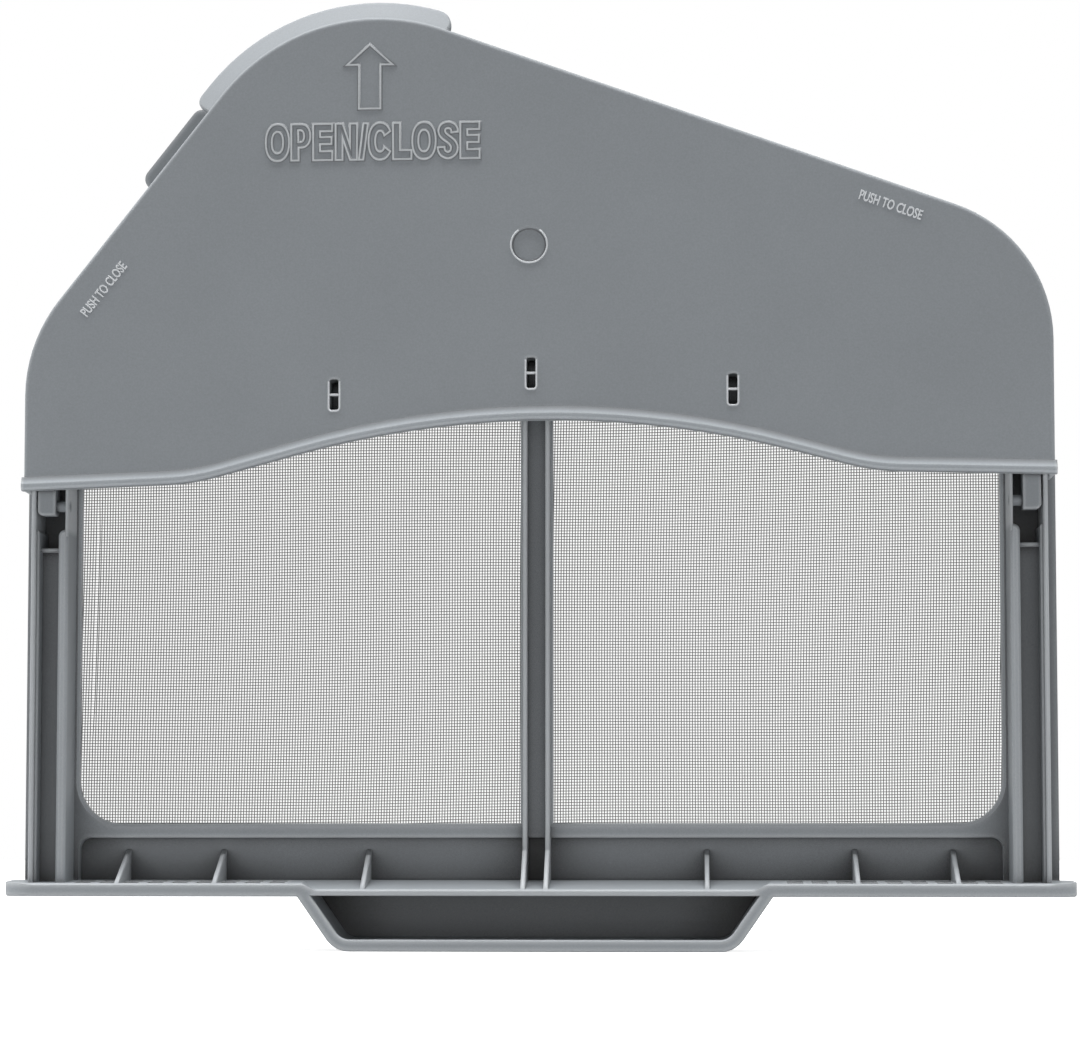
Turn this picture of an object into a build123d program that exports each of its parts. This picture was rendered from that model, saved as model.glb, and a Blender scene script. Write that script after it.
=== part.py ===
"""Pull-out lint filter of a tumble dryer: a framed double screen with a hinged lint cover.

The filter stands upright on its handle. X runs along the flange, the front faces -Y and Z is up.
The origin is the middle of the handle's flat foot. All sizes are in millimetres.
"""
import math
import os

from build123d import *

os.makedirs("parts", exist_ok=True)

# Handle: a finger pocket under the flange, open to the front
handle_top_width = 165.4
handle_foot_width = 139.0
handle_depth = 28.0
handle_wall = 4.2
handle_corner = 10.0
handle_back_wall = 3.0
handle_edge_radius = 0.6

# Flange: the perforated plate that rests on the dryer's rim
flange_length = 376.0
flange_depth = 30.0
flange_base = 19.0
flange_band = 4.6
flange_rise = 1.0
flange_wall = 2.2
flange_corner = 12.0
flange_bevel = 0.6
ramp_width = 152.0
ramp_flare = 7.0
ramp_drop = 2.0
slot_length = 5.6
slot_depth = 5.0
slot_pitch = 8.6
slot_row_pitch = 7.4
slot_margin = 1.0

# Front outline of the body, as the corners of a polygon and their radii
body_half = 181.0
left_shoulder = 215.3
right_shoulder = 248.6
crown_x = -80.0
crown_height = 343.4
left_radius = 55.0
right_radius = 51.0
crown_radius = 70.0

# Depth of the body, from the front to the back
cover_setback = 1.5
cover_wall = 2.0
cover_gap = 0.5
rail_depth = 14.5
plate_wall = 3.5

# Rear frame
ledge = 2.0
rail_wall = 1.6
channel_width = 8.1
inner_wall = 3.4
channel_step = 2.4
channel_step_height = 148.5
guide_wall = 1.0
guide_setback = 1.4
guide_corner = 0.9
cross_rib_height = 141.6
cross_rib_wall = 1.3
cross_rib_depth = 10.5
channel_fill = 7.5
window_margin = 17.4
window_foot = 44.7
window_corner = 15.0
window_chamfer = 1.2
mullion_gap = 5.8
mullion_land = 1.0
mullion_wall = 1.6
mullion_depth = 4.5
recess_head = 39.6
recess_depth = 4.5
recess_corner = 4.0
recess_margin = 1.8
recess_wall = 2.0
gusset_wall = 1.6
gusset_height = 35.2
gusset_setback = 0.8
gusset_land = 0.8
gusset_inner = 60.0
gusset_middle = 112.0
gusset_bays = 4
wall_bevel = 0.4
rail_bevel = 0.9
mullion_edge_radius = 0.5
grip_start = 6.0
grip_length = 35.0
grip_reach = 7.0
grip_corner = 4.0
grip_wall = 2.0

# Screens
screen_wall = 0.6
screen_seat = 1.0
screen_lap = 2.0
screen_gap = 0.2
screen_pitch = 4.4
screen_thread = 1.5
screen_ridge = 0.3
screen_ridge_pitch = 62.0

# Front cover
rim_wall = 1.8
rim_gap = 0.6
rim_foot_gap = 0.4
edge_radius = 1.2
wave_left_end = 162.0
wave_left_foot = (-121.0, 164.2)
wave_crest = (3.0, 197.6)
wave_right_foot = (118.7, 167.0)
wave_right_end = 165.4
wave_foot_radius = 80.0
wave_crest_radius = 337.0
bead_width = 4.9
bead_proud = 1.4
bead_end = 0.6
bead_radius = 1.3
bead_slope = 2.6
bead_fall = 1.2
lip_reach = 7.3
lip_back = 6.3
lip_edge = 1.6
lip_left_run = 8.0
lip_right_run = 1.8
lip_left_corner = 4.0
lip_right_corner = 6.0
lip_bevel = 0.6
bar_slot_width = 3.2
bar_slot_height = 10.9
bar_slot_corner = 0.8
bar_wall = 0.9
bar_setback = 0.5
bar_pocket_depth = 7.5
bar_pocket_wall = 1.0
bar_slot_places = ((-70.6, 195.4), (-1.1, 202.5), (69.6, 196.2))
gate_mark = (-1.8, 248.0)
gate_radius = 6.4
gate_depth = 0.7
gate_bevel = 0.6

# Hinge: pins on the cover's arms turn in holes through the walls of the rails
hinge_height = 157.0
hinge_setback = 3.8
pin_radius = 1.9
pin_clearance = 0.08
arm_wall = 6.2
arm_clearance = 0.7
arm_radius = 3.4
arm_corner = 1.8
arm_neck = 14.0
arm_height = 24.0

# Places that follow from the sizes above
flange_front = -handle_depth / 2
flange_back = flange_front + flange_depth
flange_edge = flange_base + flange_band
flange_top = flange_edge + flange_rise
flange_under = flange_edge - flange_wall
ramp_edge = flange_edge - ramp_drop
pocket_top = ramp_edge - flange_wall
pocket_back = flange_front + handle_depth - handle_back_wall
wall_foot = flange_edge - flange_wall / 2
cover_face = flange_front + cover_setback
cover_back = cover_face + cover_wall
rail_front = cover_back + cover_gap
plate_front = rail_front + rail_depth
plate_back = plate_front + plate_wall
recess_back = plate_front + recess_depth
screen_front = plate_back - screen_seat
rim_back = plate_front - rim_foot_gap
rail_inset = rim_wall + rim_gap
rail_outer = body_half - rail_inset
channel_outer = rail_outer - rail_wall
channel_inner = channel_outer - channel_width
pocket_side = channel_inner - inner_wall
recess_half = pocket_side - recess_margin
hinge_wall_outer = channel_inner - channel_step
window_outer = body_half - window_margin
mullion_outer = mullion_gap - mullion_land
mullion_inner = mullion_outer - mullion_wall
mullion_middle = mullion_outer - mullion_wall / 2
mullion_front = plate_front - mullion_depth
hinge_depth = rail_front + hinge_setback
arm_outer = channel_outer - arm_clearance
slope = math.atan2(crown_height - left_shoulder, crown_x + body_half)
right_slope = math.atan2(crown_height - right_shoulder, body_half - crown_x)
crown_turn = slope + right_slope
gusset_places = (gusset_inner, gusset_middle, gusset_middle + gusset_bays * slot_pitch)
sides = (-1, 1)


def front_plane(depth):
    """Upright plane at a depth, seen from the front."""
    return Plane.XZ.offset(-depth)


def side_profile(*points):
    """Face in a side view, from its corners as depth and height."""
    with BuildSketch() as profile:
        with BuildLine():
            Polyline(*points, close=True)
        make_face()
    return profile.sketch_local


def fall_profile(edge):
    """Side view of what is cut off a plate's top so that it falls to a bevelled front edge at a height."""
    return side_profile(
        (flange_front, edge - flange_bevel),
        (flange_front + flange_bevel, edge),
        (plate_front, flange_top),
        (flange_front, flange_top),
    )


def body_profile(grow, foot):
    """Front outline of the body, grown all round, with its lower edge at the height foot."""
    with BuildSketch() as profile:
        with BuildLine():
            Polyline(
                (-body_half, foot + grow),
                (-body_half, left_shoulder),
                (crown_x, crown_height),
                (body_half, right_shoulder),
                (body_half, foot + grow),
                close=True,
            )
        make_face()
        rounded = (
            ((-body_half, left_shoulder), left_radius),
            ((crown_x, crown_height), crown_radius),
            ((body_half, right_shoulder), right_radius),
        )
        for corner, radius in rounded:
            fillet(profile.vertices().sort_by_distance(corner)[0], radius)
        if grow:
            offset(amount=grow, kind=Kind.INTERSECTION)
    return profile.sketch_local


def window_profile(side, grow):
    """Window left (-1) or right (1) of the mullion, grown all round."""
    with BuildSketch() as profile:
        add(body_profile(-window_margin, window_foot))
        with Locations((side * (mullion_gap + body_half / 2), crown_height / 2)):
            Rectangle(body_half, 2 * crown_height, mode=Mode.INTERSECT)
        fillet(profile.vertices().sort_by_distance((side * window_outer, window_foot))[0], window_corner)
        if grow:
            offset(amount=grow, kind=Kind.INTERSECTION)
    return profile.sketch_local


def gusset_profile(head_points, foot):
    """Side view of a gusset that slants from the flange's front up to its head."""
    gusset_front = flange_front + gusset_setback
    gusset_base = foot - flange_wall / 2
    front_points = ((gusset_front, foot), (gusset_front, gusset_base))
    return side_profile((recess_back, gusset_base), *head_points, *front_points)


def upright_strip(inner, outer, foot, head):
    """Upright strip between two distances from the middle, as a placed rectangle."""
    with Locations(((inner + outer) / 2, (foot + head) / 2)):
        return Rectangle(abs(outer - inner), head - foot)


def wave_line(rise):
    """The cover's wavy lower edge and its bead's length, moved up by a rise."""
    bead_half = body_half + bead_end
    corners = (
        (-bead_half, wave_left_end),
        wave_left_foot,
        wave_crest,
        wave_right_foot,
        (bead_half, wave_right_end),
    )
    radii = [wave_foot_radius, wave_crest_radius, wave_foot_radius]
    return FilletPolyline(*[(x, z + rise) for x, z in corners], radius=radii)


def cover_profile():
    """Front outline of the cover down to its wavy edge."""
    with BuildSketch() as profile:
        add(body_profile(0, window_foot))
        with BuildSketch(mode=Mode.SUBTRACT):
            with BuildLine():
                wave = wave_line(0)
                Polyline(wave @ 1, ((wave @ 1).X, 0), ((wave @ 0).X, 0), wave @ 0)
            make_face()
    return profile.sketch_local


def handle_profile(inset, top):
    """Front outline of the handle, with sides that slant inwards to its foot."""
    slant = (handle_top_width - handle_foot_width) / 2 / flange_base
    half_foot = handle_foot_width / 2
    head = flange_top + inset
    half_head = half_foot + slant * head
    with BuildSketch() as profile:
        with BuildLine():
            Polyline((-half_head, head), (-half_foot, 0), (half_foot, 0), (half_head, head), close=True)
        make_face()
        fillet(profile.vertices().group_by(Axis.Y)[0], handle_corner)
        if inset:
            offset(amount=-inset, kind=Kind.INTERSECTION)
        with Locations((0, top - flange_top)):
            Rectangle(handle_top_width * 2, flange_top * 2, mode=Mode.INTERSECT)
    return profile.sketch_local


# Outer wall of the body, bevelled along its front
with BuildPart() as outer_wall:
    with BuildSketch(front_plane(plate_front)):
        add(body_profile(-rail_inset, wall_foot))
        add(body_profile(-rail_inset - rail_wall, 0), mode=Mode.SUBTRACT)
    extrude(amount=rail_depth)
    wall_edges = outer_wall.faces().sort_by(Axis.Y)[0].edges()
    chamfer(wall_edges.filter_by(lambda edge: edge.length > 2 * rail_wall), wall_bevel)

# Inner walls of the rails below the hinge, bevelled along their front and their shoulders
with BuildPart() as rail_walls:
    for side in sides:
        with BuildSketch(front_plane(plate_front)) as rail_wall_front:
            upright_strip(side * pocket_side, side * channel_inner, wall_foot, channel_step_height)
            step_corners = rail_wall_front.vertices().group_by(Axis.Y)[-1]
            fillet(step_corners.sort_by(lambda corner: abs(corner.X))[-1], channel_step)
        extrude(amount=rail_depth)
    wall_edges = rail_walls.faces().filter_by(Axis.Y).group_by(Axis.Y)[0].edges()
    chamfer(wall_edges.filter_by(Axis.Z), rail_bevel)

# Thin walls that carry on from the inner walls, up beside the hinge to the outer wall
with BuildPart() as hinge_walls:
    with BuildSketch(front_plane(plate_front)):
        for side in sides:
            wall_start = channel_step_height - channel_step
            upright_strip(side * pocket_side, side * hinge_wall_outer, wall_start, crown_height)
    extrude(amount=rail_depth)
    chamfer(hinge_walls.edges().filter_by(Axis.Z).group_by(Axis.Y)[0], wall_bevel)
    with BuildSketch(front_plane(plate_front)):
        add(body_profile(-rail_inset, 0))
    extrude(amount=rail_depth, mode=Mode.INTERSECT)

# Guide strips that thicken the outer wall below the hinge
with BuildPart() as guide_strips:
    for side in sides:
        with BuildSketch(front_plane(plate_front)) as guide_front:
            guide_inner = side * (channel_outer - guide_wall)
            upright_strip(guide_inner, side * (channel_outer + rail_wall / 2), wall_foot, channel_step_height)
            guide_head = (guide_inner, channel_step_height)
            fillet(guide_front.vertices().sort_by_distance(guide_head)[0], guide_corner)
        extrude(amount=rail_depth - guide_setback)

# Two walls of the mullion
with BuildPart() as mullion:
    with BuildSketch(front_plane(plate_front)):
        for side in sides:
            upright_strip(side * mullion_inner, side * mullion_outer, wall_foot, crown_height)
    extrude(amount=mullion_depth)
    fillet(mullion.edges().filter_by(Axis.Z).group_by(Axis.Y)[0], mullion_edge_radius)
    with BuildSketch(front_plane(plate_front)):
        add(body_profile(-rail_inset, 0))
    extrude(amount=mullion_depth, mode=Mode.INTERSECT)

# Wedge that is cut from the flange to make the smooth ramp over the handle
with BuildPart() as ramp_cut:
    with BuildSketch(front_plane(plate_front)):
        with BuildLine():
            Polyline(
                (-ramp_width / 2, ramp_edge - flange_bevel),
                (ramp_width / 2, ramp_edge - flange_bevel),
                (ramp_width / 2 + ramp_flare, flange_top),
                (-ramp_width / 2 - ramp_flare, flange_top),
                close=True,
            )
        make_face()
    extrude(amount=plate_front - flange_front)
    with BuildSketch(Plane.YZ):
        add(fall_profile(ramp_edge))
    extrude(amount=ramp_width, both=True, mode=Mode.INTERSECT)

# Handle with its finger pocket, rounded along its front
with BuildPart() as handle:
    with BuildSketch(front_plane(flange_front + handle_depth)):
        add(handle_profile(0, wall_foot - ramp_drop))
    extrude(amount=handle_depth)
    with BuildSketch(front_plane(pocket_back)):
        add(handle_profile(handle_wall, pocket_top))
    extrude(amount=handle_depth, mode=Mode.SUBTRACT)
    front_edges = handle.faces().sort_by(Axis.Y)[0].edges().sort_by(Axis.Z)
    fillet(front_edges[:-1], handle_edge_radius)

with BuildPart() as rear_frame:
    # Bevelled flange with a top that falls to its front band, and lower still over the handle
    with BuildSketch(Plane.XY.offset(flange_base)):
        with Locations((0, (flange_front + flange_back) / 2)):
            RectangleRounded(flange_length, flange_depth, flange_corner)
    extrude(amount=flange_top - flange_base)
    chamfer(rear_frame.edges().filter_by(Axis.Z, reverse=True), flange_bevel)
    with BuildSketch(Plane.YZ):
        add(fall_profile(flange_edge))
    extrude(amount=flange_length, both=True, mode=Mode.SUBTRACT)
    add(ramp_cut.part, mode=Mode.SUBTRACT)

    # Handle, with its pocket open up into the flange
    add(handle.part)
    with BuildSketch(front_plane(pocket_back)):
        add(handle_profile(handle_wall, pocket_top))
    extrude(amount=handle_depth, mode=Mode.SUBTRACT)

    # Hollow underside at both ends of the flange
    with BuildSketch(Plane.XY.offset(flange_base)):
        with Locations((0, (flange_front + flange_back) / 2)):
            RectangleRounded(
                flange_length - 2 * flange_wall,
                flange_depth - 2 * flange_wall,
                flange_corner - flange_wall,
            )
        with Locations((0, flange_front + flange_depth / 2)):
            Rectangle(handle_top_width, 2 * flange_depth, mode=Mode.SUBTRACT)
    extrude(amount=flange_under - flange_base, mode=Mode.SUBTRACT)

    # Two rows of slots in the flange on each side of the ramp, with the gussets on the bars between them
    slot_start = ramp_width / 2 + ramp_flare + slot_margin
    first_column = -int((gusset_middle - slot_start) / slot_pitch)
    last_column = int((pocket_side - gusset_middle) / slot_pitch)
    with BuildSketch(Plane.XY.offset(flange_base)):
        for side in sides:
            for column in range(first_column, last_column):
                slot_x = gusset_middle + (column + 0.5) * slot_pitch
                with Locations((side * slot_x, (flange_front + plate_front) / 2)):
                    with GridLocations(0, slot_row_pitch, 1, 2):
                        Rectangle(slot_length, slot_depth)
    extrude(amount=flange_top - flange_base, mode=Mode.SUBTRACT)

    # Back plate with two windows, bevelled towards the front
    with BuildSketch(front_plane(plate_back)):
        add(body_profile(ledge, wall_foot))
        for side in sides:
            add(window_profile(side, 0), mode=Mode.SUBTRACT)
    extrude(amount=plate_wall)
    plate_face = rear_frame.faces().filter_by(Axis.Y).sort_by(SortBy.AREA)[-2:].sort_by(Axis.Y)[0]
    chamfer([edge for wire in plate_face.inner_wires() for edge in wire.edges()], window_chamfer)
    with BuildSketch(front_plane(plate_back)):
        for side in sides:
            add(window_profile(side, screen_lap + screen_gap))
    extrude(amount=screen_seat, mode=Mode.SUBTRACT)

    # Grip on the left slope, to press against while the cover's lip is pulled
    grip_distance = crown_radius * math.tan(crown_turn / 2) + grip_start + grip_length / 2
    grip_x = crown_x - grip_distance * math.cos(slope)
    grip_z = crown_height - grip_distance * math.sin(slope)
    with BuildSketch(front_plane(plate_back)):
        with Locations(Location((grip_x, grip_z, 0), (0, 0, math.degrees(slope)))):
            RectangleRounded(grip_length, 2 * (ledge + grip_reach), grip_corner)
        add(body_profile(0, wall_foot), mode=Mode.SUBTRACT)
    extrude(amount=grip_wall)

    # Outer wall of the body, inner walls of the rails, with raised floors and cross ribs between them
    add(outer_wall.part)
    add(guide_strips.part)
    add(rail_walls.part)
    add(hinge_walls.part)
    with BuildSketch(front_plane(plate_front)):
        for side in sides:
            rib_foot = cross_rib_height - cross_rib_wall / 2
            upright_strip(side * channel_inner, side * channel_outer, rib_foot, rib_foot + cross_rib_wall)
    extrude(amount=cross_rib_depth)
    with BuildSketch(front_plane(plate_front)):
        for side in sides:
            upright_strip(side * channel_inner, side * channel_outer, wall_foot, cross_rib_height)
    extrude(amount=channel_fill)

    # Recess sunk into the plate below the windows
    with BuildSketch(front_plane(recess_back + recess_wall)):
        box_half = recess_half + recess_wall
        upright_strip(-box_half, box_half, wall_foot, recess_head + recess_wall)
    extrude(amount=recess_depth + recess_wall)
    with BuildSketch(front_plane(recess_back)) as recess_front:
        upright_strip(-recess_half, recess_half, flange_top, recess_head)
        fillet(recess_front.vertices().group_by(Axis.Y)[-1], recess_corner)
    extrude(amount=recess_depth, mode=Mode.SUBTRACT)

    # Mullion of two walls, with a foot in the recess
    add(mullion.part)
    mullion_head = ((recess_back, recess_head), (mullion_front, recess_head), (mullion_front, gusset_height))
    for side in sides:
        with BuildSketch(Plane.YZ.offset(side * mullion_middle)):
            add(gusset_profile(mullion_head, ramp_edge))
        extrude(amount=mullion_wall / 2, both=True)

    # Gussets between the flange and the recess
    gusset_head = ((recess_back, gusset_height), (recess_back - gusset_land, gusset_height))
    for place in gusset_places:
        gusset_foot = ramp_edge if place < ramp_width / 2 else flange_edge
        for side in sides:
            with BuildSketch(Plane.YZ.offset(side * place)):
                add(gusset_profile(gusset_head, gusset_foot))
            extrude(amount=gusset_wall / 2, both=True)

    # Hinge holes through the walls of both rails
    for side in sides:
        with BuildSketch(Plane.YZ.offset(side * rail_outer)):
            with Locations((hinge_depth, hinge_height)):
                Circle(pin_radius + pin_clearance)
        extrude(amount=-side * (rail_outer - pocket_side), mode=Mode.SUBTRACT)

rear_frame.part.label = "rear_frame"
export_step(rear_frame.part, "parts/rear_frame.step")


def screen(side):
    """Woven screen of one window: a sheet with upright gaps and ridges across them."""
    middle = side * (mullion_gap + window_outer) / 2
    span = window_outer - mullion_gap
    gap_count = int((span - 2 * screen_thread) / screen_pitch)
    with BuildPart() as sheet:
        with BuildSketch(front_plane(screen_front + screen_wall)):
            add(window_profile(side, screen_lap))
        extrude(amount=screen_wall)
        with BuildSketch(front_plane(screen_front + screen_wall)):
            with Locations((middle, crown_height / 2)):
                with GridLocations(screen_pitch, 0, gap_count, 1):
                    Rectangle(screen_pitch - screen_thread, crown_height)
            add(window_profile(side, -screen_thread), mode=Mode.INTERSECT)
        extrude(amount=screen_wall, mode=Mode.SUBTRACT)
        ridge_count = int((left_shoulder - window_foot) / screen_ridge_pitch)
        with BuildSketch(front_plane(screen_front)):
            for ridge in range(1, ridge_count + 1):
                with Locations((middle, window_foot + ridge * screen_ridge_pitch)):
                    Rectangle(span - 2 * screen_gap, screen_thread)
        extrude(amount=screen_ridge)
    return sheet.part


left_mesh = screen(-1)
left_mesh.label = "left_mesh"
export_step(left_mesh, "parts/left_mesh.step")

right_mesh = screen(1)
right_mesh.label = "right_mesh"
export_step(right_mesh, "parts/right_mesh.step")

# Bead along the cover's wavy edge, sloped on top and rounded below
with BuildPart() as bead:
    with BuildSketch(front_plane(cover_back)):
        with BuildLine():
            lower = wave_line(0)
            upper = wave_line(bead_width)
            Line(lower @ 0, upper @ 0)
            Line(lower @ 1, upper @ 1)
        make_face()
    extrude(amount=cover_wall + bead_proud)
    bead_front = bead.faces().sort_by(Axis.Y)[0]
    upper_faces = bead.faces().filter_by(lambda face: face.normal_at().Z > 0.5)
    chamfer(bead_front.edges() & upper_faces.edges(), bead_slope, bead_fall, reference=bead_front)
    bead_front = bead.faces().sort_by(Axis.Y)[0]
    lower_faces = bead.faces().filter_by(lambda face: face.normal_at().Z < -0.5)
    fillet(bead_front.edges() & lower_faces.edges(), bead_radius)

# Finger lip that flares back round the crown of the cover, and runs on a little along both slopes
with BuildPart() as finger_lip:
    crown_centre = crown_radius / math.cos(crown_turn / 2)
    inward = slope - (crown_turn + math.pi) / 2
    lip_x = crown_x + crown_centre * math.cos(inward)
    lip_z = crown_height + crown_centre * math.sin(inward)
    lip_section = side_profile(
        (crown_radius - rim_wall / 2, -edge_radius),
        (crown_radius, -edge_radius),
        (crown_radius + lip_reach, -lip_back),
        (crown_radius + lip_reach, -lip_back - lip_edge),
        (crown_radius - rim_wall / 2, -lip_back - lip_edge),
    )
    left_outward = (-math.sin(slope), 0, math.cos(slope))
    left_along = (math.cos(slope), 0, math.sin(slope))
    left_end = Plane((lip_x, cover_face, lip_z), x_dir=left_outward, z_dir=left_along)
    with BuildSketch(left_end):
        add(lip_section)
    lip_turn = crown_turn + lip_right_run / crown_radius
    revolve(axis=Axis((lip_x, 0, lip_z), (0, 1, 0)), revolution_arc=math.degrees(lip_turn))
    with BuildSketch(left_end):
        add(lip_section)
    extrude(amount=-lip_left_run)
    end_edges = finger_lip.edges().filter_by(Axis.Y).filter_by(lambda edge: edge.length < lip_back)
    fillet(end_edges.sort_by(Axis.X)[0], lip_left_corner)
    end_edges = finger_lip.edges().filter_by(Axis.Y).filter_by(lambda edge: edge.length < lip_back)
    fillet(end_edges.sort_by(Axis.X)[-1], lip_right_corner)
    outer_edges = finger_lip.edges().filter_by(GeomType.CIRCLE).sort_by(SortBy.RADIUS)[-2:]
    chamfer(outer_edges, lip_bevel)

with BuildPart() as front_cover:
    # Plate with a deep rim, open behind and along its wavy lower edge
    with BuildSketch(front_plane(rim_back)):
        add(cover_profile())
    extrude(amount=rim_back - cover_face)
    face_edges = front_cover.faces().sort_by(Axis.Y)[0].edges()
    fillet([edge for edge in face_edges if edge.bounding_box().max.Z > wave_crest[1]], edge_radius)
    with BuildSketch(front_plane(rim_back)):
        add(body_profile(-rim_wall, 0))
    extrude(amount=rim_back - cover_back, mode=Mode.SUBTRACT)

    add(bead.part)
    add(finger_lip.part)

    # Blind slots with a thin bar across them, and the round mark of the mould's gate
    bar_pocket_back = cover_back + bar_pocket_depth
    with BuildSketch(front_plane(bar_pocket_back)):
        with Locations(*bar_slot_places):
            RectangleRounded(
                bar_slot_width + 2 * bar_pocket_wall,
                bar_slot_height + 2 * bar_pocket_wall,
                bar_slot_corner + bar_pocket_wall,
            )
    extrude(amount=bar_pocket_depth)
    with BuildSketch(front_plane(bar_pocket_back - bar_pocket_wall)):
        with Locations(*bar_slot_places):
            RectangleRounded(bar_slot_width, bar_slot_height, bar_slot_corner)
    extrude(amount=bar_pocket_depth - bar_pocket_wall + cover_wall, mode=Mode.SUBTRACT)
    with BuildSketch(front_plane(cover_back)):
        with Locations(*bar_slot_places):
            Rectangle(bar_slot_width, bar_wall)
    extrude(amount=cover_wall - bar_setback)
    with BuildSketch(front_plane(cover_face + gate_depth)):
        with Locations(gate_mark):
            Circle(gate_radius - gate_bevel)
    gate_taper = math.degrees(math.atan2(gate_bevel, gate_depth))
    extrude(amount=gate_depth, taper=-gate_taper, mode=Mode.SUBTRACT)

    # Hinge arms that reach down into the rails, with pins to both sides
    arm_back = hinge_depth + arm_radius
    arm_foot = hinge_height - arm_radius
    arm_head = hinge_height + arm_height
    for side in sides:
        with BuildSketch(Plane.YZ.offset(side * arm_outer)) as arm_side:
            upright_strip(rail_front, arm_back, arm_foot, arm_head)
            upright_strip(cover_face + cover_wall / 2, arm_back, hinge_height + arm_neck, arm_head)
            fillet(arm_side.vertices().group_by(Axis.Y)[0].sort_by(Axis.X)[-1], arm_radius)
        extrude(amount=-side * arm_wall)
    lowest_edges = front_cover.edges().filter_by(Axis.Y).group_by(Axis.Z)[0].sort_by(Axis.X)
    fillet([lowest_edges[0], lowest_edges[-1]], arm_corner)
    for side in sides:
        with BuildSketch(Plane.YZ.offset(side * rail_outer)):
            with Locations((hinge_depth, hinge_height)):
                Circle(pin_radius)
        extrude(amount=-side * (rail_outer - pocket_side))

front_cover.part.label = "front_cover"
export_step(front_cover.part, "parts/front_cover.step")
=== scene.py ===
"""Looks of a pull-out lint filter: matte grey moulded plastic, woven screens and raised lettering.

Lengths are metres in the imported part's frame: X along the flange, the front faces -Y and Z is up.
"""
import math

import bmesh
import bpy
from mathutils import Matrix, Vector
from mathutils.geometry import convex_hull_2d


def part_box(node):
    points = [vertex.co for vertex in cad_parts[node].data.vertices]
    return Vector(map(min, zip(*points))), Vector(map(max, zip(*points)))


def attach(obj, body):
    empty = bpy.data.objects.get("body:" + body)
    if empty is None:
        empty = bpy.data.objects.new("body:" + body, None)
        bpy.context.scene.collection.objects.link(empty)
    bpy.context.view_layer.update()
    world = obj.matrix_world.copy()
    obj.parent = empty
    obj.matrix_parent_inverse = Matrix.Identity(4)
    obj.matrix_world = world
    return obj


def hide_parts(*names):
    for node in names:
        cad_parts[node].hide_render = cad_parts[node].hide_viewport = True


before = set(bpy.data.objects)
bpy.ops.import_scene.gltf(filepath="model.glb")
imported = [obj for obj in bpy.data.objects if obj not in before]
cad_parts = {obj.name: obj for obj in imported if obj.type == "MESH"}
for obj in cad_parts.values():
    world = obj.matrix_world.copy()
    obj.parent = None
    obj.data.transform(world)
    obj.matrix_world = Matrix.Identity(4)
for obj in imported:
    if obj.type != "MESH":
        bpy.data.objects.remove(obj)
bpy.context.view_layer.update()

MM = 0.001
scene = bpy.context.scene

# Camera, fitted to an image of this width in pixels
image_width = 1080
focal_pixels = 2772.0
sensor_width = 36.0
camera_place = (56.69 * MM, -975.44 * MM, 36.75 * MM)
camera_yaw = math.radians(3.246)
camera_pitch = math.radians(3.5)
camera_shift = 0.14

# Front cover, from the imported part
cover_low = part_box("front_cover")[0]
bead_proud = 1.4 * MM
cover_face = cover_low.y + bead_proud

# Raised words and arrow on the cover, at X and Z of its face; letters are drawn in millimetres
ridge_half = 0.66 * MM
ridge_height = 0.36 * MM
# Lettering keeps a light painted highlight tone above this share of a ridge's height and blends over the
# next share into painted shade on its flanks
ridge_crown = 0.92
ridge_blend = 0.1
curve_steps = 4
oval_power = 0.88
oval_degrees = 12
letter_height = 13.8
snake_half = 1.2
words_start = (-95.3 * MM, 279.05 * MM)
words_stretch = (0.988, 0.94)
words_letters = (
    ("O", 0.0), ("P", 9.2), ("E", 17.1), ("N", 25.2), ("/", 33.6),
    ("C", 37.05), ("L", 45.9), ("O", 52.8), ("S", 62.0), ("E", 70.05),
)
arrow_tip = (-58.35 * MM, 320.35 * MM)
arrow_head_height = 7.2 * MM
arrow_head_width = 16.1 * MM
arrow_shaft_width = 7.7 * MM
arrow_length = 23.0 * MM
small_words_text = "PUSH TO CLOSE"
small_words_length = 22.8 * MM
small_words_height = 3.4 * MM
small_words_margin = 0.15 * MM
small_words = (
    ("left_words", (-152.95 * MM, 233.9 * MM), math.radians(51.5)),
    ("right_words", (125.0 * MM, 260.5 * MM), math.radians(-19.9)),
)

# Slots and gate mark of the cover
face_origin = (0.0, 0.0)
rim_half = 0.32 * MM
slot_places = ((-70.6 * MM, 195.4 * MM), (-1.1 * MM, 202.5 * MM), (69.6 * MM, 196.2 * MM))
slot_half_width = 1.6 * MM
slot_half_length = 5.45 * MM
slot_round = 0.8 * MM
bar_half = 0.42 * MM
bar_setback = 0.5 * MM
gate_place = (-1.8 * MM, 248.0 * MM)
gate_radius = 6.4 * MM
gate_rim_degrees = (125, 415)
gate_floor_radius = 5.8 * MM
gate_depth = 0.7 * MM
groove_height = 0.2 * MM

# Woven screens
warp_radius = 0.178 * MM
weft_radius = 0.14 * MM
warp_pitch = 0.98 * MM
weft_pitch = 1.025 * MM
thread_sides = 6
thread_steps = 12
hem_width = 1.6 * MM
wander = 0.4 * MM
wander_along = 31.0 * MM
wander_across = 47.0 * MM
lean = 0.012
lean_middle = 120.0 * MM
seam_place = -158.4 * MM
seam_reach = (88.0 * MM, 152.0 * MM)
seam_shift = 0.38 * MM

# Skin of the plastic and of the threads
skin_grain = 1500.0
thread_grain = 900.0
cloud_scale = 22.0
noise_limits = (0.3, 0.7)
speck_tones = (0.93, 1.07)
cloud_tones = (0.97, 1.03)
grain_depth = 0.05 * MM
grain_strength = 0.12
cover_roughness = 0.66
frame_roughness = 0.5
raised_roughness = 0.4
groove_roughness = 0.6
thread_roughness = 0.45
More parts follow.
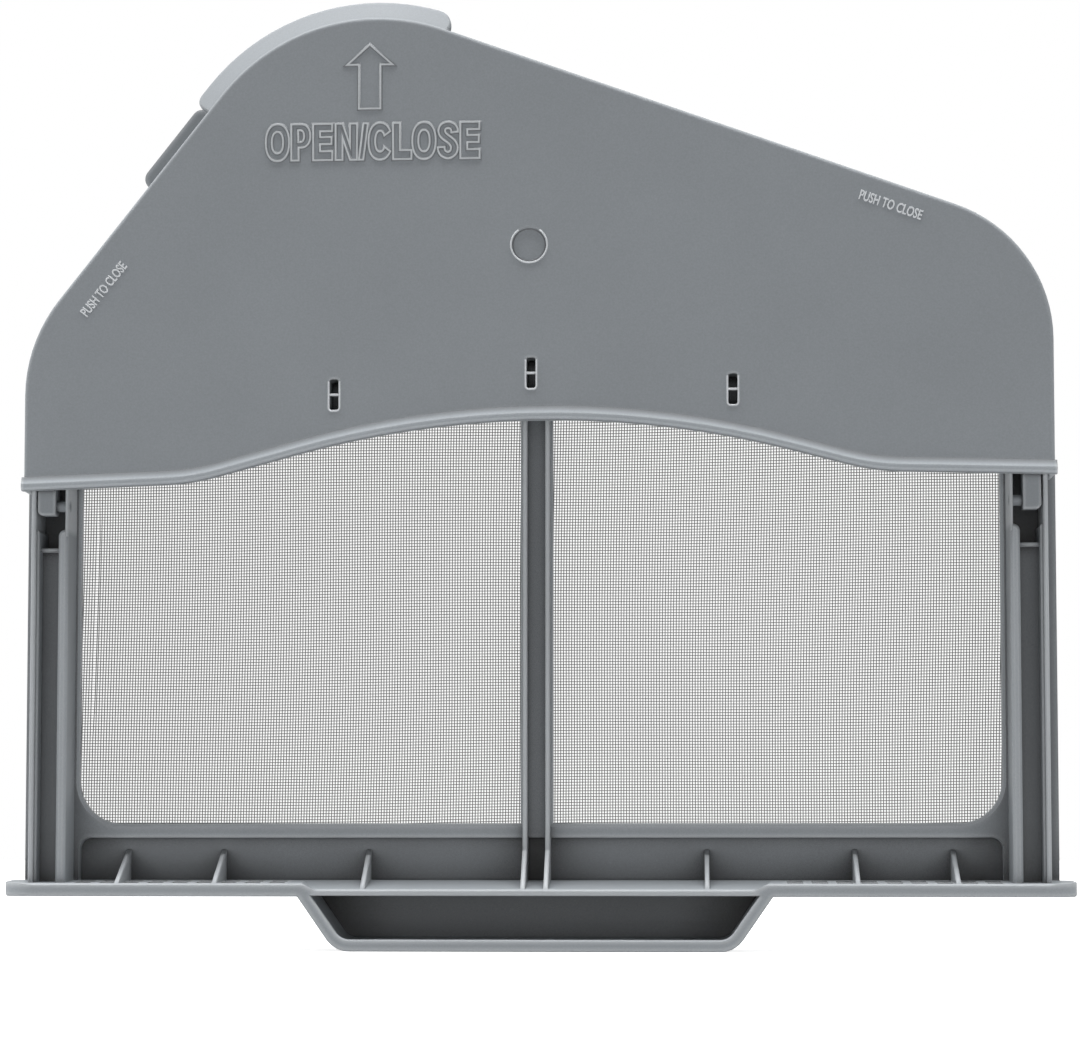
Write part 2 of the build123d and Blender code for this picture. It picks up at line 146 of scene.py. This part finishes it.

# Painted highlight on the plastic's outer edges and painted shade in its corners and hollows; the limits
# and starts are shares of open sky round a point
edge_limits = (0.95, 0.55)
corner_full = 0.48
hollow_full = 0.38
sky_samples = 4
soft_samples = 3
cover_highlight_share = 0.6
frame_highlight_share = 0.65
corner_shade_share = 0.8
# Side Share keeps this share of the painted corner and hollow shade on faces that look sideways, up or
# down
cover_light_masks = {
    "Softness": 1.4 * MM,
    "Edge Width": 1.2 * MM,
    "Corner Width": 3.0 * MM,
    "Corner Start": 0.87,
    "Hollow Start": 0.75,
    "Side Share": 1.0,
}
frame_light_masks = {
    "Softness": 1.1 * MM,
    "Edge Width": 2.0 * MM,
    "Corner Width": 22.0 * MM,
    "Corner Start": 0.95,
    "Hollow Start": 0.52,
    "Side Share": 0.08,
}

# Shares of the bead's height, and the cover's tone there as a share of its plain tone: painted shade at
# the bead's foot and painted highlight on its crown
bead_tones = ((0.02, 1.0), (0.08, 0.5), (0.35, 0.7), (0.65, 1.1), (0.97, 1.6), (1.0, 1.36))

# Tones as linear colours; the highlight and shade greys are painted light and shade
cover_grey = (0.205, 0.222, 0.238)
frame_grey = (0.232, 0.251, 0.268)
edge_highlight_grey = (0.50, 0.52, 0.54)
letter_highlight_grey = (0.42, 0.44, 0.455)
small_letter_highlight_grey = (0.56, 0.58, 0.6)
thread_grey = (0.15, 0.154, 0.152)
shade_grey = (0.125, 0.135, 0.145)
crease_shade_grey = (0.1, 0.106, 0.113)
hollow_shade_grey = (0.012, 0.012, 0.013)
floor_grey = (0.62, 0.62, 0.62)
white = (1.0, 1.0, 1.0)

# Studio: name, place, target, size and watts of each soft light
softboxes = (
    ("top_softbox", (0.0, -0.25, 3.0), (0.0, 0.0, 0.2), (4.6, 0.6), 205.0),
    ("left_softbox", (-2.2, 0.05, 1.6), (-0.1, 0.0, 0.25), (0.6, 0.8), 26.0),
    ("left_fill", (-1.5, -1.7, 0.3), (0.0, 0.0, 0.15), (0.9, 0.5), 4.0),
    ("right_fill", (1.5, -1.7, 0.3), (0.0, 0.0, 0.15), (0.9, 0.5), 4.0),
)
surroundings_strength = 0.1
floor_size = 6.0
floor_roughness = 0.9
glow_reach = (0.1, 0.7)
glow_strength = (0.84, 1.0)


def link(tree, source, target):
    """Joins two sockets of a node tree."""
    tree.links.new(source, target)


def add_node(tree, kind, settings=None, **values):
    """New node with its settings and the values of its named inputs."""
    node = tree.nodes.new(kind)
    for name, value in (settings or {}).items():
        setattr(node, name, value)
    for name, value in values.items():
        node.inputs[name.replace("_", " ")].default_value = value
    return node


def add_range(tree, limits, results, value):
    """Output of a clamped map from limits to results."""
    node = add_node(tree, "ShaderNodeMapRange", From_Min=limits[0], From_Max=limits[1])
    node.inputs["To Min"].default_value = results[0]
    node.inputs["To Max"].default_value = results[1]
    link(tree, value, node.inputs["Value"])
    return node.outputs["Result"]


def product(tree, first, second):
    """Output of two linked values multiplied."""
    node = add_node(tree, "ShaderNodeMath", {"operation": "MULTIPLY"})
    link(tree, first, node.inputs[0])
    link(tree, second, node.inputs[1])
    return node.outputs["Value"]


def object_parts(tree, kind="Object"):
    """X, Y and Z of the Object coordinates, or of the object's own Normal."""
    place = add_node(tree, "ShaderNodeTexCoord")
    parts = add_node(tree, "ShaderNodeSeparateXYZ")
    link(tree, place.outputs[kind], parts.inputs["Vector"])
    return parts.outputs


def new_group(name, inputs, outputs):
    """Empty shader group with named sockets, and its two end nodes."""
    tree = bpy.data.node_groups.new(name, "ShaderNodeTree")
    for socket, kind in inputs:
        tree.interface.new_socket(socket, in_out="INPUT", socket_type=kind)
    for socket, kind in outputs:
        tree.interface.new_socket(socket, in_out="OUTPUT", socket_type=kind)
    return tree, tree.nodes.new("NodeGroupInput"), tree.nodes.new("NodeGroupOutput")


def moulded_skin_group():
    """Fine matte skin of a spark-eroded mould, with a faint cloudiness of the plastic."""
    tree, given, made = new_group(
        "moulded_skin",
        [("Tone", "NodeSocketColor"), ("Grain", "NodeSocketFloat"), ("Roughness", "NodeSocketFloat")],
        [("Color", "NodeSocketColor"), ("Roughness", "NodeSocketFloat"), ("Height", "NodeSocketFloat")],
    )
    place = add_node(tree, "ShaderNodeTexCoord")
    grain = add_node(tree, "ShaderNodeTexNoise", Detail=3.0, Roughness=0.6)
    cloud = add_node(tree, "ShaderNodeTexNoise", Scale=cloud_scale, Detail=4.0, Roughness=0.55)
    link(tree, place.outputs["Object"], grain.inputs["Vector"])
    link(tree, given.outputs["Grain"], grain.inputs["Scale"])
    link(tree, place.outputs["Object"], cloud.inputs["Vector"])
    speck = add_range(tree, noise_limits, speck_tones, grain.outputs["Fac"])
    drift = add_range(tree, noise_limits, cloud_tones, cloud.outputs["Fac"])
    colour = add_node(tree, "ShaderNodeVectorMath", {"operation": "SCALE"})
    link(tree, given.outputs["Tone"], colour.inputs["Vector"])
    link(tree, product(tree, speck, drift), colour.inputs["Scale"])
    link(tree, colour.outputs["Vector"], made.inputs["Color"])
    link(tree, product(tree, speck, given.outputs["Roughness"]), made.inputs["Roughness"])
    link(tree, grain.outputs["Fac"], made.inputs["Height"])
    return tree


def edge_light_masks_group():
    """Masks where a highlight is painted along outer edges and shade is painted in inner corners and
    hollows, and the softened normal.
    """
    tree, given, made = new_group(
        "edge_light_masks",
        [
            ("Softness", "NodeSocketFloat"),
            ("Edge Width", "NodeSocketFloat"),
            ("Corner Width", "NodeSocketFloat"),
            ("Corner Start", "NodeSocketFloat"),
            ("Hollow Start", "NodeSocketFloat"),
            ("Side Share", "NodeSocketFloat"),
        ],
        [
            ("Edge", "NodeSocketFloat"),
            ("Corner", "NodeSocketFloat"),
            ("Hollow", "NodeSocketFloat"),
            ("Normal", "NodeSocketVector"),
        ],
    )
    soft = add_node(tree, "ShaderNodeBevel", {"samples": soft_samples})
    link(tree, given.outputs["Softness"], soft.inputs["Radius"])
    link(tree, soft.outputs["Normal"], made.inputs["Normal"])

    sky = {"samples": sky_samples, "only_local": True}
    outer = add_node(tree, "ShaderNodeAmbientOcclusion", {**sky, "inside": True})
    inner = add_node(tree, "ShaderNodeAmbientOcclusion", sky)
    link(tree, given.outputs["Edge Width"], outer.inputs["Distance"])
    link(tree, given.outputs["Corner Width"], inner.inputs["Distance"])
    link(tree, add_range(tree, edge_limits, (0.0, 1.0), outer.outputs["AO"]), made.inputs["Edge"])

    facing = object_parts(tree, "Normal")["Y"]
    level = add_node(tree, "ShaderNodeMapRange", To_Max=1.0)
    link(tree, given.outputs["Side Share"], level.inputs["To Min"])
    link(tree, product(tree, facing, facing), level.inputs["Value"])
    for mask, full in (("Corner", corner_full), ("Hollow", hollow_full)):
        depth = add_node(tree, "ShaderNodeMapRange", From_Max=full)
        link(tree, given.outputs[mask + " Start"], depth.inputs["From Min"])
        link(tree, inner.outputs["AO"], depth.inputs["Value"])
        settled = product(tree, depth.outputs["Result"], level.outputs["Result"])
        link(tree, settled, made.inputs[mask])
    return tree


moulded_skin = moulded_skin_group()
edge_light_masks = edge_light_masks_group()


def new_material(name):
    """Material with its Principled shader."""
    material = bpy.data.materials.new(name)
    material.use_nodes = True
    return material, material.node_tree, material.node_tree.nodes["Principled BSDF"]


def scaled(tree, value, share):
    """A value times a fixed share."""
    node = add_node(tree, "ShaderNodeMath", {"operation": "MULTIPLY"})
    node.inputs[1].default_value = share
    link(tree, value, node.inputs[0])
    return node.outputs["Value"]


def blended(tree, share, first, second):
    """Colour between a linked first colour and a fixed second one."""
    node = add_node(tree, "ShaderNodeMix", {"data_type": "RGBA"})
    node.inputs["B"].default_value = (*second, 1.0)
    link(tree, share, node.inputs["Factor"])
    link(tree, first, node.inputs["A"])
    return node.outputs["Result"]


def skin_node(tree, tone, grain, roughness):
    """The moulded skin, placed in a material with its own tone."""
    skin = add_node(tree, "ShaderNodeGroup", {"node_tree": moulded_skin}, Grain=grain, Roughness=roughness)
    skin.inputs["Tone"].default_value = (*tone, 1.0)
    return skin


def bead_shaded(tree, colour):
    """Paints shade on the foot of the cover's bead and a highlight on its crown, by how far they stand
    out.
    """
    proud = add_range(tree, (cover_face, cover_low.y), (0.0, 1.0), object_parts(tree)["Y"])
    lightest = max(tone for _, tone in bead_tones)
    ramp = add_node(tree, "ShaderNodeValToRGB")
    stops = ramp.color_ramp.elements
    stops.remove(stops[1])
    stops[0].position = bead_tones[0][0]
    for place, _ in bead_tones[1:]:
        stops.new(place)
    for stop, (_, tone) in zip(stops, bead_tones):
        share = tone / lightest
        stop.color = (share, share, share, 1.0)
    link(tree, proud, ramp.inputs["Fac"])
    shaded = add_node(tree, "ShaderNodeVectorMath", {"operation": "MULTIPLY"})
    link(tree, colour, shaded.inputs[0])
    link(tree, ramp.outputs["Color"], shaded.inputs[1])
    lifted = add_node(tree, "ShaderNodeVectorMath", {"operation": "SCALE"}, Scale=lightest)
    link(tree, shaded.outputs["Vector"], lifted.inputs["Vector"])
    return lifted.outputs["Vector"]


def moulded_plastic(name, tone, roughness, light_masks_values, highlight_share, beaded):
    """Matte moulded plastic with its skin, a painted highlight along outer edges, painted shade in inner
    corners and near-black painted shade in hollows.
    """
    material, tree, shader = new_material(name)
    skin = skin_node(tree, tone, skin_grain, roughness)
    light_masks = add_node(tree, "ShaderNodeGroup", {"node_tree": edge_light_masks})
    for socket, value in light_masks_values.items():
        light_masks.inputs[socket].default_value = value
    edge = scaled(tree, light_masks.outputs["Edge"], highlight_share)
    corner = scaled(tree, light_masks.outputs["Corner"], corner_shade_share)
    highlighted = blended(tree, edge, skin.outputs["Color"], edge_highlight_grey)
    crease_shaded = blended(tree, corner, highlighted, crease_shade_grey)
    colour = blended(tree, light_masks.outputs["Hollow"], crease_shaded, hollow_shade_grey)
    if beaded:
        colour = bead_shaded(tree, colour)
    bump = add_node(tree, "ShaderNodeBump", Strength=grain_strength, Distance=grain_depth)
    link(tree, skin.outputs["Height"], bump.inputs["Height"])
    link(tree, light_masks.outputs["Normal"], bump.inputs["Normal"])
    link(tree, colour, shader.inputs["Base Color"])
    link(tree, skin.outputs["Roughness"], shader.inputs["Roughness"])
    link(tree, bump.outputs["Normal"], shader.inputs["Normal"])
    return material


def raised_plastic(name, tone):
    """Plastic of thin raised lines: painted shade on their flanks where they leave the face, a light
    painted highlight along their crowns.
    """
    material, tree, shader = new_material(name)
    skin = skin_node(tree, tone, skin_grain, raised_roughness)
    crown = cover_face - ridge_crown * ridge_height
    limits = (crown, crown + ridge_blend * ridge_height)
    # Mask of the painted shade on the ridge's flanks, below its lit crown
    foot = add_range(tree, limits, (0.0, 1.0), object_parts(tree)["Y"])
    link(tree, blended(tree, foot, skin.outputs["Color"], shade_grey), shader.inputs["Base Color"])
    link(tree, skin.outputs["Roughness"], shader.inputs["Roughness"])
    return material


def plain_skin(name, tone, grain, roughness):
    """The skin with no painted edge highlight or corner shade, for threads, and for the painted highlight
    of rims and small letters and the painted shade of the gate mark's line.
    """
    material, tree, shader = new_material(name)
    skin = skin_node(tree, tone, grain, roughness)
    link(tree, skin.outputs["Color"], shader.inputs["Base Color"])
    link(tree, skin.outputs["Roughness"], shader.inputs["Roughness"])
    return material


def add_piece(name, mesh, body, material):
    """Object of a finished mesh, riding on a body."""
    piece = bpy.data.objects.new(name, mesh)
    scene.collection.objects.link(piece)
    mesh.materials.clear()
    mesh.materials.append(material)
    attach(piece, body)
    return piece


def dress_node(node, material):
    """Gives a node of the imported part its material."""
    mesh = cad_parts[node].data
    mesh.materials.clear()
    mesh.materials.append(material)


def face_matrix(place, angle, sunk=0.0):
    """Turns a flat drawing in XY up onto the cover's face, at a place, an angle and a depth."""
    lift = Matrix.Translation((place[0], cover_face + sunk, place[1]))
    return lift @ Matrix.Rotation(math.radians(90), 4, "X") @ Matrix.Rotation(angle, 4, "Z")


def mesh_of_curve(curve, name):
    """Mesh of a curve's evaluated form."""
    holder = bpy.data.objects.new(name, curve)
    scene.collection.objects.link(holder)
    bpy.context.view_layer.update()
    shaped = holder.evaluated_get(bpy.context.evaluated_depsgraph_get())
    mesh = bpy.data.meshes.new_from_object(shaped)
    bpy.data.objects.remove(holder)
    return mesh


def letter_outlines(words):
    """Outlines of words as a curve, lying in XY."""
    text = bpy.data.curves.new(words, "FONT")
    text.body = words
    text.resolution_u = curve_steps
    holder = bpy.data.objects.new(words, text)
    scene.collection.objects.link(holder)
    bpy.ops.object.select_all(action="DESELECT")
    bpy.context.view_layer.objects.active = holder
    holder.select_set(True)
    bpy.ops.object.convert(target="CURVE")
    holder = bpy.context.view_layer.objects.active
    curve = holder.data
    bpy.data.objects.remove(holder)
    return curve


def fit_curve(curve, low, high):
    """Moves and stretches a flat curve so that its outline fills a box."""
    points = [p.co for s in curve.splines for p in (s.bezier_points or s.points)]
    left = min(p.x for p in points)
    right = max(p.x for p in points)
    foot = min(p.y for p in points)
    head = max(p.y for p in points)
    wide = (high[0] - low[0]) / (right - left)
    tall = (high[1] - low[1]) / (head - foot)
    to_origin = Matrix.Translation((-left, -foot, 0))
    to_box = Matrix.Translation((low[0], low[1], 0))
    curve.transform(to_box @ Matrix.Diagonal((wide, tall, 1, 1)) @ to_origin)


def raised_outline(curve, name, place, material, half=ridge_half, height=ridge_height, sunk=0.0):
    """Thin rounded ridge along a flat curve on the cover's face, or on something sunk below it."""
    curve.dimensions = "2D"
    curve.fill_mode = "NONE"
    curve.bevel_depth = half
    curve.bevel_resolution = curve_steps
    curve.use_fill_caps = True
    mesh = mesh_of_curve(curve, name)
    mesh.transform(face_matrix(place, 0.0, sunk) @ Matrix.Diagonal((1, 1, height / half, 1)))
    return add_piece(name, mesh, "cover", material)


def oval(middle, reach, first=0.0, last=360.0, power=oval_power):
    """Points along an oval, slightly squared unless its power is 1, between two angles in degrees."""
    steps = 2 + int(abs(last - first) / oval_degrees)
    points = []
    for step in range(steps + 1):
        turn = math.radians(first + (last - first) * step / steps)
        across = math.copysign(abs(math.cos(turn)) ** power, math.cos(turn))
        along = math.copysign(abs(math.sin(turn)) ** power, math.sin(turn))
        points.append((middle[0] + reach[0] * across, middle[1] + reach[1] * along))
    return points


def ring(middle, radius, first=0.0, last=360.0):
    """Points along a circle between two angles in degrees."""
    return oval(middle, (radius, radius), first, last, power=1.0)


def broad_stroke(path, half):
    """Outline of a stroke of even width along a smooth path."""
    turns = [Vector(p) for p in path]
    ends = [2 * turns[0] - turns[1], *turns, 2 * turns[-1] - turns[-2]]
    fine = []
    for before, start, end, after in zip(ends, ends[1:], ends[2:], ends[3:]):
        for step in range(curve_steps):
            share = step / curve_steps
            bend = 2 * before - 5 * start + 4 * end - after
            twist = 3 * (start - end) + after - before
            fine.append(start + share * ((end - before) + share * (bend + share * twist)) / 2)
    fine.append(turns[-1])
    sides = ([], [])
    for back, place, ahead in zip(fine[:1] + fine, fine, fine[1:] + fine[-1:]):
        normal = (ahead - back).orthogonal().normalized() * half
        sides[0].append(tuple(place + normal))
        sides[1].append(tuple(place - normal))
    return sides[0] + sides[1][::-1]


def letter_shapes():
    """Contours of the bold narrow capitals, in millimetres from each letter's lower left corner."""
    arms = [
        (6.9, 0), (6.9, 3.4), (2.5, 3.4), (2.5, 6.1), (6.6, 6.1),
        (6.6, 8.8), (2.5, 8.8), (2.5, 11.0), (6.8, 11.0),
    ]
    bowl = oval((3.4, 9.33), (3.43, 4.47), -90, 90)
    eye = oval((3.2, 9.25), (1.4, 2.25), -90, 90)
    half_zigzag = [(0, 0), (2.5, 0), (2.5, 8.4), (5.2, 0), (7.7, 0)]
    zigzag_width = half_zigzag[-1][0]
    snake = [
        (6.0, 10.0), (5.8, 11.3), (5.0, 12.3), (3.6, 12.7), (2.1, 12.2), (1.4, 10.8),
        (1.75, 9.2), (2.9, 8.0), (4.2, 7.0), (5.4, 5.7), (5.9, 4.1),
        (5.4, 2.2), (3.7, 1.2), (2.0, 1.9), (1.3, 3.2), (1.2, 4.3),
    ]
    top = letter_height
    middle = letter_height / 2
    return {
        "C": [oval((4.15, middle), (4.15, 7.05), 30, 330) + oval((4.15, middle), (1.75, 4.0), 330, 30)],
        "E": [[(0, 0), *arms, (6.8, top), (0, top)]],
        "L": [[(0, 0), (6.6, 0), (6.6, 3.4), (2.4, 3.4), (2.4, top), (0, top)]],
        "N": [half_zigzag + [(zigzag_width - x, top - y) for x, y in half_zigzag]],
        "O": [oval((4.2, middle), (4.2, 7.05))[:-1], oval((4.2, middle), (2.05, 4.1))[:-1]],
        "P": [[(0, 0), (2.7, 0), (2.7, 4.86), *bowl, (0, top)], [(2.5, 7.0), *eye, (2.5, 11.5)]],
        "S": [broad_stroke(snake, snake_half)],
        "/": [[(0, 0), (1.6, 0), (3.2, top), (1.6, top)]],
    }


def outlines(name, contours, closed=True):
    """Flat curve of outlines, closed or open."""
    curve = bpy.data.curves.new(name, "CURVE")
    for corners in contours:
        spline = curve.splines.new("POLY")
        spline.points.add(len(corners) - 1)
        for point, (x, y) in zip(spline.points, corners):
            point.co = (x, y, 0, 1)
        spline.use_cyclic_u = closed
    return curve


def capital_outlines():
    """Outlines of the words, with their lower left corner at the origin."""
    shapes = letter_shapes()
    wide, tall = (stretch * MM for stretch in words_stretch)
    contours = []
    for letter, start in words_letters:
        for shape in shapes[letter]:
            contours.append([((start + x) * wide, y * tall) for x, y in shape])
    return outlines("capitals", contours)


def mouth_rim_highlights():
    """Light ridges of painted highlight round the sides and feet of the three slots, and round all but the
    top of the gate mark.
    """
    side = slot_half_width + rim_half
    turn = slot_round + rim_half
    inset = slot_half_width - slot_round
    contours = []
    for x, z in slot_places:
        foot = z - slot_half_length + slot_round
        head = z + slot_half_length - slot_round
        left_foot = ring((x - inset, foot), turn, 180, 270)
        right_foot = ring((x + inset, foot), turn, 270, 360)
        contours.append([(x - side, head), *left_foot, *right_foot, (x + side, head)])
    contours.append(ring(gate_place, gate_radius, *gate_rim_degrees))
    return outlines("mouth_rim_highlights", contours, closed=False)


def gate_crease_shade():
    """Dark line of painted shade round the floor of the gate mark."""
    return outlines("gate_crease_shade", [ring(gate_place, gate_floor_radius)[:-1]])


def bar_lines():
    """Middle lines of the bars across the slots."""
    lines = [[(x - slot_half_width, z), (x + slot_half_width, z)] for x, z in slot_places]
    return outlines("bars", lines, closed=False)


def raised_letters(name, words, place, angle, material):
    """Small solid letters that stand proud of the cover's face."""
    curve = letter_outlines(words)
    half = (small_words_length / 2, small_words_height / 2)
    fit_curve(curve, (-half[0], -half[1]), half)
    curve.dimensions = "2D"
    curve.fill_mode = "BOTH"
    curve.extrude = ridge_height - small_words_margin
    curve.bevel_depth = small_words_margin
    mesh = mesh_of_curve(curve, name)
    mesh.transform(face_matrix(place, angle))
    return add_piece(name, mesh, "cover", material)


def arrow_outline():
    """Closed outline of the arrow, with its tip at the origin."""
    half_head = arrow_head_width / 2
    half_shaft = arrow_shaft_width / 2
    right_side = (
        (half_head, -arrow_head_height),
        (half_shaft, -arrow_head_height),
        (half_shaft, -arrow_length),
    )
    left_side = [(-x, y) for x, y in reversed(right_side)]
    return outlines("arrow", [[(0, 0), *right_side, *left_side]])


def outline_of(node):
    """Outline of a screen's sheet seen from the front, as corners in X and Z."""
    corners = [Vector((v.co.x, v.co.z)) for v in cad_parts[node].data.vertices]
    return [corners[i] for i in convex_hull_2d(corners)]


def span_across(outline, axis, value):
    """Where a line at a value of X (axis 0) or Z (axis 1) enters and leaves an outline."""
    crossings = []
    for a, b in zip(outline, outline[1:] + outline[:1]):
        if (a[axis] - value) * (b[axis] - value) < 0:
            share = (value - a[axis]) / (b[axis] - a[axis])
            crossings.append(a[1 - axis] + share * (b[1 - axis] - a[1 - axis]))
    return min(crossings), max(crossings)


def drift_of_weave(along, across):
    """Sideways wander of a thread in the loosely stretched weave."""
    wave = math.sin(along / wander_along + across / wander_across)
    return wander * wave + lean * (along - lean_middle)


def parted(across, along):
    """Sideways shift of the one warp thread that stands apart along the left screen's fold."""
    beside = abs(across - seam_place) < warp_pitch / 2
    return seam_shift if beside and seam_reach[0] < along < seam_reach[1] else 0.0


def add_threads(form, outline, axis, pitch, radius, depth):
    """All threads at even places along one axis, as tubes drawn out step by step to the outline."""
    low = min(p[axis] for p in outline) + pitch
    high = max(p[axis] for p in outline) - pitch
    count = int((high - low) / pitch)
    tag = form.verts.layers.int.get("thread") or form.verts.layers.int.new("thread")
    spans = []
    rims = []
    turn = Matrix.Rotation(math.radians(90), 4, "Y") if axis else Matrix.Identity(4)
    for number in range(count + 1):
        place = low + number * pitch
        spans.append((place, *span_across(outline, axis, place)))
        circle = bmesh.ops.create_circle(
            form, cap_ends=True, segments=thread_sides, radius=radius, matrix=turn
        )
        for vert in circle["verts"]:
            vert[tag] = number
        rims += list({edge for vert in circle["verts"] for edge in vert.link_edges})
    sections = {vert: vert.co.copy() for edge in rims for vert in edge.verts}

    def put(vert, section, share):
        place, start, end = spans[vert[tag]]
        along = start + share * (end - start)
        side = place + drift_of_weave(along, place)
        if axis:
            vert.co = section + Vector((along, depth, side))
        else:
            vert.co = section + Vector((side + parted(place, along), depth, along))

    for vert, section in sections.items():
        put(vert, section, 0.0)
    for step in range(1, thread_steps + 1):
        drawn = bmesh.ops.extrude_edge_only(form, edges=rims)
        new_verts = [g for g in drawn["geom"] if isinstance(g, bmesh.types.BMVert)]
        new_edges = [g for g in drawn["geom"] if isinstance(g, bmesh.types.BMEdge)]
        fresh = set(new_verts)
        partner = {}
        for vert in new_verts:
            old = next(e.other_vert(vert) for e in vert.link_edges if e.other_vert(vert) not in fresh)
            partner[vert] = sections[old]
        sections = partner
        for vert, section in sections.items():
            put(vert, section, step / thread_steps)
        rims = [e for e in new_edges if e.verts[0] in fresh and e.verts[1] in fresh]
    bmesh.ops.holes_fill(form, edges=rims, sides=thread_sides)


def add_hem(form, outline, depth):
    """Welded hem round the screen: a flat band just inside its outline."""
    corners = [form.verts.new((p.x, depth, p.y)) for p in outline]
    sheet = form.faces.new(corners)
    bmesh.ops.inset_region(form, faces=[sheet], thickness=hem_width, use_even_offset=True)
    band = [f for v in corners for f in v.link_faces if f is not sheet]
    bmesh.ops.delete(form, geom=[sheet], context="FACES_ONLY")
    bmesh.ops.solidify(form, geom=list(set(band)), thickness=2 * weft_radius)


def woven_screen(node, material):
    """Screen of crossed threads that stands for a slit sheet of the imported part."""
    outline = outline_of(node)
    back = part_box(node)[1].y
    weft_depth = back - weft_radius
    warp_depth = weft_depth - weft_radius - warp_radius
    form = bmesh.new()
    add_threads(form, outline, 0, warp_pitch, warp_radius, warp_depth)
    add_threads(form, outline, 1, weft_pitch, weft_radius, weft_depth)
    add_hem(form, outline, warp_depth)
    bmesh.ops.recalc_face_normals(form, faces=form.faces)
    mesh = bpy.data.meshes.new(node)
    form.to_mesh(mesh)
    form.free()
    piece = add_piece(node.replace("mesh", "screen"), mesh, "frame", material)
    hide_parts(node)
    return piece


def softbox(name, place, target, size, watts):
    """Rectangular area light aimed at a point."""
    lamp = bpy.data.lights.new(name, "AREA")
    lamp.shape = "RECTANGLE"
    lamp.size, lamp.size_y = size
    lamp.energy = watts
    light = bpy.data.objects.new(name, lamp)
    light.location = place
    light.rotation_euler = (Vector(target) - Vector(place)).to_track_quat("-Z", "Y").to_euler()
    scene.collection.objects.link(light)


def white_surroundings(strength):
    """World that looks white to the camera and lights the object softly."""
    world = bpy.data.worlds.new("surroundings")
    scene.world = world
    world.use_nodes = True
    tree = world.node_tree
    back = tree.nodes["Background"]
    path = add_node(tree, "ShaderNodeLightPath")
    seen = add_node(tree, "ShaderNodeMath", {"operation": "MAXIMUM"})
    either = add_node(tree, "ShaderNodeMath", {"operation": "MAXIMUM"})
    link(tree, path.outputs["Is Camera Ray"], seen.inputs[0])
    link(tree, path.outputs["Is Transmission Ray"], seen.inputs[1])
    link(tree, seen.outputs["Value"], either.inputs[0])
    link(tree, path.outputs["Is Glossy Ray"], either.inputs[1])
    level = add_node(tree, "ShaderNodeMapRange", To_Min=strength, To_Max=1.0)
    link(tree, either.outputs["Value"], level.inputs["Value"])
    link(tree, level.outputs["Result"], back.inputs["Strength"])
    back.inputs["Color"].default_value = (*white, 1.0)


def pale_floor():
    """Floor that looks white, but keeps the object's shadow close to it."""
    form = bmesh.new()
    bmesh.ops.create_grid(form, x_segments=1, y_segments=1, size=floor_size)
    mesh = bpy.data.meshes.new("floor")
    form.to_mesh(mesh)
    form.free()
    floor = bpy.data.objects.new("floor", mesh)
    scene.collection.objects.link(floor)
    material, tree, shader = new_material("floor_paper")
    shader.inputs["Base Color"].default_value = (*floor_grey, 1.0)
    shader.inputs["Roughness"].default_value = floor_roughness
    place = add_node(tree, "ShaderNodeTexCoord")
    reach = add_node(tree, "ShaderNodeVectorMath", {"operation": "LENGTH"})
    link(tree, place.outputs["Object"], reach.inputs["Vector"])
    glow = add_range(tree, glow_reach, glow_strength, reach.outputs["Value"])
    path = add_node(tree, "ShaderNodeLightPath")
    shader.inputs["Emission Color"].default_value = (*white, 1.0)
    seen = product(tree, path.outputs["Is Camera Ray"], glow)
    link(tree, seen, shader.inputs["Emission Strength"])
    mesh.materials.append(material)


def add_camera():
    """Camera at the photograph's angle."""
    lens = bpy.data.cameras.new("camera")
    lens.sensor_width = sensor_width
    lens.lens = focal_pixels / image_width * sensor_width
    lens.shift_y = camera_shift
    camera = bpy.data.objects.new("camera", lens)
    camera.location = camera_place
    camera.rotation_euler = (math.radians(90) + camera_pitch, 0.0, camera_yaw)
    scene.collection.objects.link(camera)
    scene.camera = camera


cover_plastic = moulded_plastic(
    "cover_plastic", cover_grey, cover_roughness, cover_light_masks, cover_highlight_share, beaded=True
)
frame_plastic = moulded_plastic(
    "frame_plastic", frame_grey, frame_roughness, frame_light_masks, frame_highlight_share, beaded=False
)
lettering_plastic = raised_plastic("lettering_plastic", letter_highlight_grey)
# Small letters in a light grey that is a painted highlight
small_letter_plastic = plain_skin("small_letter_plastic", small_letter_highlight_grey, skin_grain, raised_roughness)
# Light grey of painted highlight for the slot and gate rims and the slot bars
rim_highlight_plastic = plain_skin("rim_highlight_plastic", edge_highlight_grey, skin_grain, raised_roughness)
# Dark grey of painted shade for the line round the gate mark's floor
groove_shade_plastic = plain_skin("groove_shade_plastic", crease_shade_grey, skin_grain, groove_roughness)
screen_threads = plain_skin("screen_threads", thread_grey, thread_grain, thread_roughness)

dress_node("front_cover", cover_plastic)
dress_node("rear_frame", frame_plastic)
for screen_node in ("left_mesh", "right_mesh"):
    woven_screen(screen_node, screen_threads)

raised_outline(capital_outlines(), "open_close_words", words_start, lettering_plastic)
raised_outline(arrow_outline(), "open_arrow", arrow_tip, lettering_plastic)
raised_outline(mouth_rim_highlights(), "mouth_rim_highlights", face_origin, rim_highlight_plastic, rim_half, rim_half)
raised_outline(bar_lines(), "slot_bars", face_origin, rim_highlight_plastic, bar_half, bar_setback, bar_setback)
raised_outline(
    gate_crease_shade(), "gate_crease_shade", face_origin, groove_shade_plastic, rim_half, groove_height, gate_depth
)
for words_name, words_place, words_angle in small_words:
    raised_letters(words_name, small_words_text, words_place, words_angle, small_letter_plastic)

pale_floor()
white_surroundings(surroundings_strength)
for box_name, box_place, box_target, box_size, box_watts in softboxes:
    softbox(box_name, box_place, box_target, box_size, box_watts)
add_camera()

scene.view_settings.view_transform = "Standard"
